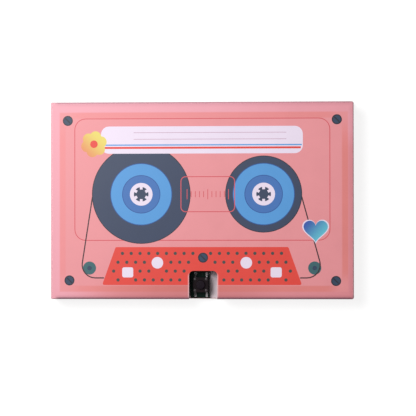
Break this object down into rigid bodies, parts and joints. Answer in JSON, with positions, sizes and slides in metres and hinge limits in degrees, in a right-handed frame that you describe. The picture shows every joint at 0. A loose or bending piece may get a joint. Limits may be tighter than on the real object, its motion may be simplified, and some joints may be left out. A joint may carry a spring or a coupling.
{
  "type": "recordable greeting card",
  "caption": "Book-style hard card with printed covers, folding spine, finger notch over a push switch, and a sound recorder with loudspeaker under an inner panel.",
  "frame": {"origin": "middle of the back cover's outer face, on the surface that the closed card lies on", "axes": "+X across the front from the spine to the free edge, +Y up the front away from the finger notch, +Z out of the front cover"},
  "size_m": [0.12, 0.078, 0.01],
  "materials": {
    "printed_paper": "satin",
    "white_paper": "matte",
    "white_card": "matte",
    "greyboard": "matte",
    "foam_tape": "matte",
    "green_laminate": "satin",
    "black_moulding": "satin",
    "stamped_steel": "satin",
    "black_plate": "satin",
    "tinned_leads": "gloss",
    "dark_resin": "gloss",
    "chip_ceramic": "satin",
    "capacitor_ceramic": "satin",
    "lamp_resin": "gloss",
    "cell_steel": "gloss",
    "can_aluminium": "satin",
    "black_felt": "matte",
    "ferrite": "matte",
    "copper_winding": "satin",
    "clear_film": "gloss",
    "red_insulation": "satin",
    "black_insulation": "satin"
  },
  "bodies": {
    "back_cover": {"back_board": "greyboard", "back_wrap": "printed_paper", "back_liner": "white_paper", "rail_left": "greyboard", "rail_right": "greyboard", "rail_top": "greyboard", "rail_bottom_left": "greyboard", "rail_bottom_right": "greyboard", "side_band": "printed_paper", "inner_panel": "white_card", "circuit_board": "green_laminate", "board_tape": "foam_tape", "voice_chip": "dark_resin", "resistors": "chip_ceramic", "capacitors": "capacitor_ceramic", "record_lamp": "lamp_resin", "microphone_can": "can_aluminium", "microphone_base": "green_laminate", "microphone_felt": "black_felt", "battery_holder": "black_moulding", "cell_springs": "stamped_steel", "cell_clips": "stamped_steel", "button_cell_1": "cell_steel", "button_cell_2": "cell_steel", "button_cell_3": "cell_steel", "speaker_gasket": "foam_tape", "speaker_basket": "stamped_steel", "speaker_magnet": "ferrite", "speaker_pole_plate": "stamped_steel", "speaker_coil": "copper_winding", "speaker_diaphragm": "clear_film", "speaker_terminals": "green_laminate", "speaker_wire_red": "red_insulation", "speaker_wire_black": "black_insulation", "wire_joints": "tinned_leads", "play_switch_base": "black_moulding", "play_switch_plate": "black_plate", "play_switch_dome": "stamped_steel", "play_switch_leads": "tinned_leads", "play_switch_solder": "tinned_leads", "record_switch_base": "black_moulding", "record_switch_plate": "black_plate", "record_switch_dome": "stamped_steel", "record_switch_leads": "tinned_leads", "record_switch_solder": "tinned_leads"},
    "spine": {"spine_board": "greyboard", "spine_wrap": "printed_paper", "spine_liner": "white_paper"},
    "front_cover": {"front_board": "greyboard", "front_wrap": "printed_paper", "front_liner": "white_paper"},
    "play_key": {"play_button": "black_moulding"},
    "record_key": {"record_button": "black_moulding"}
  },
  "joints": [
    {"name": "spine_fold", "type": "hinge", "parent": "back_cover", "child": "spine", "pos_m": [-0.06, 0, 0], "axis": [0, -1, 0], "range_deg": [0, 90]},
    {"name": "cover_fold", "type": "hinge", "parent": "spine", "child": "front_cover", "pos_m": [-0.06, 0, 0.01], "axis": [0, -1, 0], "range_deg": [0, 90]},
    {"name": "play_press", "type": "slide", "parent": "back_cover", "child": "play_key", "axis": [0, 0, -1], "range_m": [0, 0.00025], "stiffness_N_per_m": 6400, "deforming": ["play_switch_dome"]},
    {"name": "record_press", "type": "slide", "parent": "back_cover", "child": "record_key", "axis": [0, 0, -1], "range_m": [0, 0.00025], "stiffness_N_per_m": 6400, "deforming": ["record_switch_dome"]}
  ]
}
